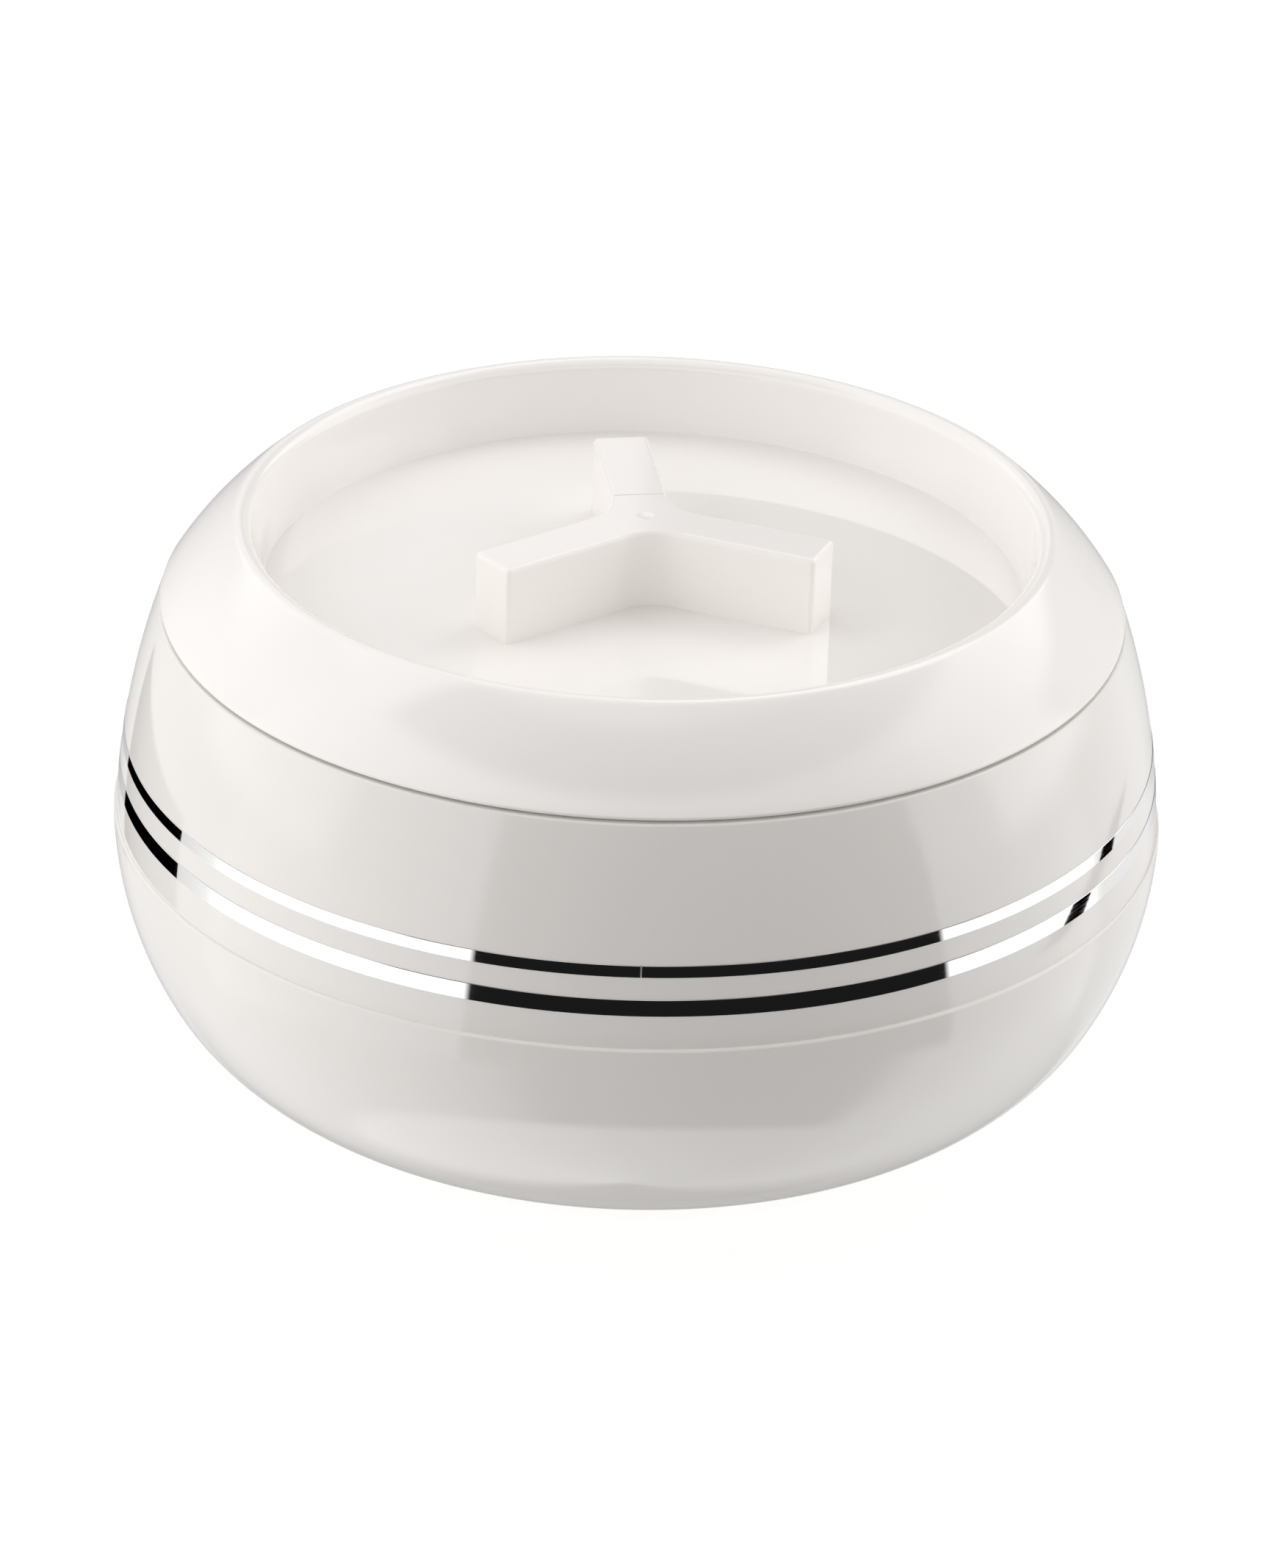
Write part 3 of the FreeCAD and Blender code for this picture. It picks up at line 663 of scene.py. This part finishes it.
def rigid_foam(name):
    """Polyurethane foam: rounded cells, with painted shade in the grooves between them."""
    material, tree, shader, place = new_material(name)
    cells = add(tree, "ShaderNodeTexVoronoi", {"Vector": place, "Scale": 900.0}).outputs["Distance"]
    # Painted shade: the colour darkens towards the grooves between the cells, where the relief dips.
    edges = spread(tree, cells, source=(0.0, 0.8))
    feed(tree, shader, {
        "Base Color": colour_between(tree, edges, (0.83, 0.74, 0.50), (0.66, 0.55, 0.32)),
        "Roughness": spread(tree, noise(tree, place, scale=200.0), low=0.75, high=0.95),
        "Normal": bump(tree, cells, depth=-3e-4),
    })
    return material


def plated_screw(name):
    """Zinc plate, cloudy and a little rough."""
    material, tree, shader, place = new_material(name)
    tone = spread(tree, noise(tree, place, scale=400.0, detail=3.0))
    feed(tree, shader, {
        "Base Color": colour_between(tree, tone, (0.52, 0.53, 0.55), (0.66, 0.66, 0.64)),
        "Roughness": spread(tree, noise(tree, place, scale=1500.0), low=0.25, high=0.45),
        "Normal": bump(tree, noise(tree, place, scale=3000.0), depth=4e-6),
        "Metallic": 1.0,
    })
    return material


def painted_floor(name):
    """Matt paint that also glows, so that the floor comes out as white as the photograph's."""
    material, tree, shader, place = new_material(name)
    tone = spread(tree, noise(tree, place, scale=3.0))
    feed(tree, shader, {
        "Base Color": colour_between(tree, tone, (0.40, 0.40, 0.40), (0.42, 0.42, 0.418)),
        "Roughness": spread(tree, noise(tree, place, scale=40.0), low=0.8, high=0.95),
        "Specular IOR Level": 0.2,
        "Emission Color": (1.0, 1.0, 1.0, 1.0),
        "Emission Strength": 0.7,
    })
    return material


# ---- the pieces ----

# Lid and body are one ivory plastic in two copies. The lid's copy, also used on its handle, is lighter:
# painted light. The body's copy is darker: painted shade. Within each copy, the two tones vary at random.
SHADED_BODY_LIGHT_TONE = (0.865, 0.835, 0.803)
SHADED_BODY_DARK_TONE = (0.85, 0.82, 0.788)
LIT_LID_LIGHT_TONE = (0.94, 0.908, 0.88)
LIT_LID_DARK_TONE = (0.925, 0.893, 0.865)
SATIN_LIGHT = (0.76, 0.745, 0.72)
SATIN_DARK = (0.73, 0.71, 0.68)
INNER_LIGHT = (0.84, 0.84, 0.83)
INNER_DARK = (0.81, 0.81, 0.79)

GLOSSY_BODY_SHADED = moulded_plastic("glossy_body_painted_shade", SHADED_BODY_LIGHT_TONE, SHADED_BODY_DARK_TONE, gloss=(0.05, 0.10), peel=5e-6)
GLOSSY_LID_LIT = moulded_plastic("glossy_lid_painted_light", LIT_LID_LIGHT_TONE, LIT_LID_DARK_TONE, gloss=(0.035, 0.06), peel=3e-6)
SATIN_BASE = moulded_plastic("satin_base", SATIN_LIGHT, SATIN_DARK, gloss=(0.35, 0.5), peel=2e-5)
INNER_WHITE = moulded_plastic("inner_white", INNER_LIGHT, INNER_DARK, gloss=(0.22, 0.34), peel=1e-5)
MIRROR = mirror_strip("mirror_strip")
STEEL = turned_steel("turned_steel")
SILICONE = silicone("silicone")
FOAM = rigid_foam("rigid_foam")
ZINC = plated_screw("plated_screw")


def strip_mesh(low, width, butt_angle):
    """A strip round the belt, open where its two ends meet."""
    opening = BAND_BUTT_GAP / on_belt(low + width / 2).x
    first = math.radians(butt_angle) + opening / 2
    return spun(band_outline(low, width), BAND_SPIN_STEPS, first, math.tau - opening)


bowl = spun(bowl_outline())
belt = spun(belt_outline())
upper_strip = strip_mesh(UPPER_BAND_Z, UPPER_BAND_WIDTH, UPPER_BUTT_ANGLE)
lower_strip = strip_mesh(LOWER_BAND_Z, LOWER_BAND_WIDTH, LOWER_BUTT_ANGLE)
liner = spun(sheet_outline(liner_path(), LINER_STEEL), closed=False)
lid = spun(lid_outline(), closed=False)
cover = spun(cover_outline())
seal = spun(seal_outline())

mesh_piece("bowl_shell", bowl, "base", ["lower_bowl"], GLOSSY_BODY_SHADED)
mesh_piece("belt_shell", belt, "base", ["upper_belt"], GLOSSY_BODY_SHADED)
mesh_piece("upper_strip", upper_strip, "base", ["upper_trim_band"], MIRROR)
mesh_piece("lower_strip", lower_strip, "base", ["lower_trim_band"], MIRROR)
mesh_piece("liner", liner, "base", ["steel_liner"], STEEL)
mesh_piece("lid_top", lid, "lid", ["lid_shell"], GLOSSY_LID_LIT)
mesh_piece("inner_cover", cover, "lid", ["lid_inner_cover"], INNER_WHITE)
mesh_piece("seal", seal, "lid", ["lid_seal"], SILICONE)

KEPT_NODES = {
    "base_cover": SATIN_BASE,
    "base_fill_plug": SATIN_BASE,
    "body_insulation": FOAM,
    "liner_gasket": SILICONE,
    "lid_handle": GLOSSY_LID_LIT,
    "handle_screws": ZINC,
    "lid_insulation": FOAM,
    "lid_fill_plug": INNER_WHITE,
}
for node_name, material in KEPT_NODES.items():
    for material_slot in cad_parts[node_name].material_slots:
        material_slot.material = material


# ---- floor, light and camera ----

FLOOR_HALF = 8.0            # m


def lay_floor():
    """A floor that only the camera sees: the light from below is the world's."""
    bm = bmesh.new()
    bmesh.ops.create_grid(bm, x_segments=1, y_segments=1, size=FLOOR_HALF)
    mesh = bpy.data.meshes.new("floor")
    bm.to_mesh(mesh)
    bm.free()
    floor = bpy.data.objects.new("floor", mesh)
    bpy.context.scene.collection.objects.link(floor)
    floor.data.materials.append(painted_floor("painted_floor"))
    floor.visible_diffuse = False
    floor.visible_glossy = False
    floor.visible_shadow = False


# The light comes from the world, in rings round the part. A ring is a list of (direction, light), with the
# direction in degrees from -Y towards +X, and light in between blended.
# These values were not chosen by eye. They began as the rounded result of another program: a least-squares
# fit of the part, rendered with one zone of light at a time, to the tones of the photograph. A second such
# fit guided a rewrite, and they were then changed in several rounds. They still follow both fits.
FLOOR_GLOW = [
    (-160, 0.3), (-118, 1.5), (-60, 1.9), (-20, 1.8), (20, 1.5), (60, 1.2), (118, 1.2), (160, 0.3),
]
LOW_GLOW = [
    (-165, 0.4), (-130, 0.9), (-100, 1.0), (-60, 1.0), (-36, 0.7), (-22, 0.05),
    (60, 0.05), (74, 1.3), (110, 1.3), (130, 0.9), (165, 0.4),
]
STRIP_REFLECTIONS = [
    (-170, 0.4), (-140, 0.72), (-117, 0.72), (-108, 0.85), (-102, 0.95), (-98, 1.3), (-34.8, 1.2),
    (-34.6, 0.01), (69.8, 0.01), (70, 1.2), (113, 1.3), (117.5, 0.85), (145, 0.85), (170, 0.4),
]
SIDE_PANELS = [
    (-165, 0.4), (-135, 1.0), (-122, 1.0), (-114, 1.7), (-78, 1.9), (-70, 1.1), (-36, 1.3), (-33, 0.0),
    (69, 0.0), (72, 1.5), (90, 1.4), (95, 2.5), (110, 2.5), (128, 1.9), (134, 0.9), (165, 0.4),
]
UPPER_PANELS = [
    (-160, 0.7), (-140, 1.5), (-112, 1.0), (-100, 1.3), (-92, 1.7), (-45, 1.8), (-25, 1.7), (0, 1.4),
    (25, 1.2), (46, 1.1), (70, 1.4), (80, 1.9), (125, 2.0), (144, 1.8), (150, 0.0),
]
BACK_PANELS = [
    (-180, 1.0), (-122, 1.0), (-114, 1.9), (-80, 1.8), (-72, 0.2), (-30, 0.0),
    (70, 0.0), (107, 0.6), (115, 2.2), (145, 2.2), (150, 1.9), (179, 1.8),
]
OVERHEAD = [(-100, 0.5), (-80, 0.9), (10, 0.9), (30, 0.5)]
# Each ring takes over from the one below it between two elevations, in degrees. The lowest is FLOOR_GLOW.
RINGS = [
    (-62, -58, LOW_GLOW),
    (-40, -36, STRIP_REFLECTIONS),
    (-10, -4, SIDE_PANELS),
    (14, 22, UPPER_PANELS),
    (38, 46, BACK_PANELS),
    (60, 68, OVERHEAD),
]
# The edges of these rings' panels lean outwards as they rise, by LEAN of their direction to a degree above
# LEAN_LEVEL.
LEANING = (STRIP_REFLECTIONS, SIDE_PANELS)
LEAN = 0.006
LEAN_LEVEL = -17.0
# Two black cards, which the strips show at their ends: direction, elevation, half of the width, half of the
# height, and the degrees that a card moves round for each degree that it rises.
# The cards, and the panels' edges at -34.7 and 69.9 degrees, were worked out with a program from points on
# the photograph's strips.
CARDS = [(-134.5, -22.5, 17.5, 5.5, 0.5), (116.6, -20.9, 5.4, 2.6, 5.8)]
STUDIO_LEVEL = 1.04         # strength of all of it
BRIGHTEST = 3.0             # no ring is brighter: the ramps hold light as a share of it
FULL_TURN = 360.0
RAMP_FRONT = 0.5            # where -Y comes on a ramp


def ring_light(tree, degrees, stops):
    """The light of one ring in a direction."""
    position = maths(tree, "MULTIPLY_ADD", degrees, 1 / FULL_TURN, RAMP_FRONT)
    ramp = add(tree, "ShaderNodeValToRGB", {"Fac": position})
    marks = ramp.color_ramp.elements
    while len(marks) > 1:
        marks.remove(marks[-1])
    while len(marks) < len(stops):
        marks.new(1.0)
    for mark, (angle, light) in zip(marks, stops):
        mark.position = angle / FULL_TURN + RAMP_FRONT
        mark.color = (light / BRIGHTEST,) * 3 + (1.0,)
    return maths(tree, "MULTIPLY", ramp.outputs["Color"], BRIGHTEST)


def light_studio():
    world = bpy.data.worlds.new("studio")
    bpy.context.scene.world = world
    world.use_nodes = True
    tree = world.node_tree
    way = tree.nodes.new("ShaderNodeTexCoord").outputs["Generated"]
    parts = add(tree, "ShaderNodeSeparateXYZ", {"Vector": way}).outputs
    ahead = maths(tree, "MULTIPLY", parts["Y"], -1.0)
    toward = maths(tree, "DEGREES", maths(tree, "ARCTAN2", parts["X"], ahead))
    rise = maths(tree, "DEGREES", maths(tree, "ARCSINE", parts["Z"]))
    spreading = maths(tree, "MULTIPLY_ADD", maths(tree, "SUBTRACT", rise, LEAN_LEVEL), LEAN, 1.0)
    leaned = maths(tree, "MULTIPLY", toward, spreading)
    light = ring_light(tree, toward, FLOOR_GLOW)
    for low, high, stops in RINGS:
        inputs = {"Value": rise, "From Min": low, "From Max": high}
        share = add(tree, "ShaderNodeMapRange", inputs, interpolation_type="SMOOTHSTEP").outputs["Result"]
        ring = ring_light(tree, leaned if stops in LEANING else toward, stops)
        light = add(tree, "ShaderNodeMix", {"Factor": share, "A": light, "B": ring}).outputs["Result"]
    for middle, level, half_width, half_height, slant in CARDS:
        above = maths(tree, "SUBTRACT", rise, level)
        aside = maths(tree, "SUBTRACT", toward, maths(tree, "MULTIPLY_ADD", above, slant, middle))
        past_side = maths(tree, "GREATER_THAN", maths(tree, "ABSOLUTE", aside), half_width)
        past_end = maths(tree, "GREATER_THAN", maths(tree, "ABSOLUTE", above), half_height)
        light = maths(tree, "MULTIPLY", light, maths(tree, "MAXIMUM", past_side, past_end))
    # The camera sees plain white behind the part, and never the rings.
    seen = tree.nodes.new("ShaderNodeLightPath").outputs["Is Camera Ray"]
    light = add(tree, "ShaderNodeMix", {"Factor": seen, "A": light, "B": 1.0}).outputs["Result"]
    feed(tree, tree.nodes["Background"], {"Color": light, "Strength": STUDIO_LEVEL})


# The camera, fitted to the photograph's ellipses. VIEW_OFFSET is where VIEW_AIM lies from the camera, to the
# right, up and ahead, in VIEW_UNITs.
VIEW_LENS = 168.6
SENSOR_WIDTH = 36.0
VIEW_ELEVATION = math.radians(26.92)
VIEW_ROLL = math.radians(-1.754)
VIEW_UNIT = 0.125           # m
VIEW_OFFSET = Vector((0.00265, 0.09975, 14.48))
VIEW_AIM = Vector((0, 0, 0.086))


def place_camera():
    ahead = Vector((0, math.cos(VIEW_ELEVATION), -math.sin(VIEW_ELEVATION)))
    level = Vector((1, 0, 0))
    right = Matrix.Rotation(VIEW_ROLL, 3, ahead) @ level
    up = right.cross(ahead)
    offset = right * VIEW_OFFSET.x + up * VIEW_OFFSET.y + ahead * VIEW_OFFSET.z
    data = bpy.data.cameras.new("camera")
    data.lens = VIEW_LENS
    data.sensor_width = SENSOR_WIDTH
    camera = bpy.data.objects.new("camera", data)
    bpy.context.scene.collection.objects.link(camera)
    turned = Matrix((right, up, -ahead)).transposed().to_4x4()
    camera.matrix_world = Matrix.Translation(VIEW_AIM - offset * VIEW_UNIT) @ turned
    bpy.context.scene.camera = camera


lay_floor()
light_studio()
place_camera()
bpy.context.scene.view_settings.view_transform = "Standard"
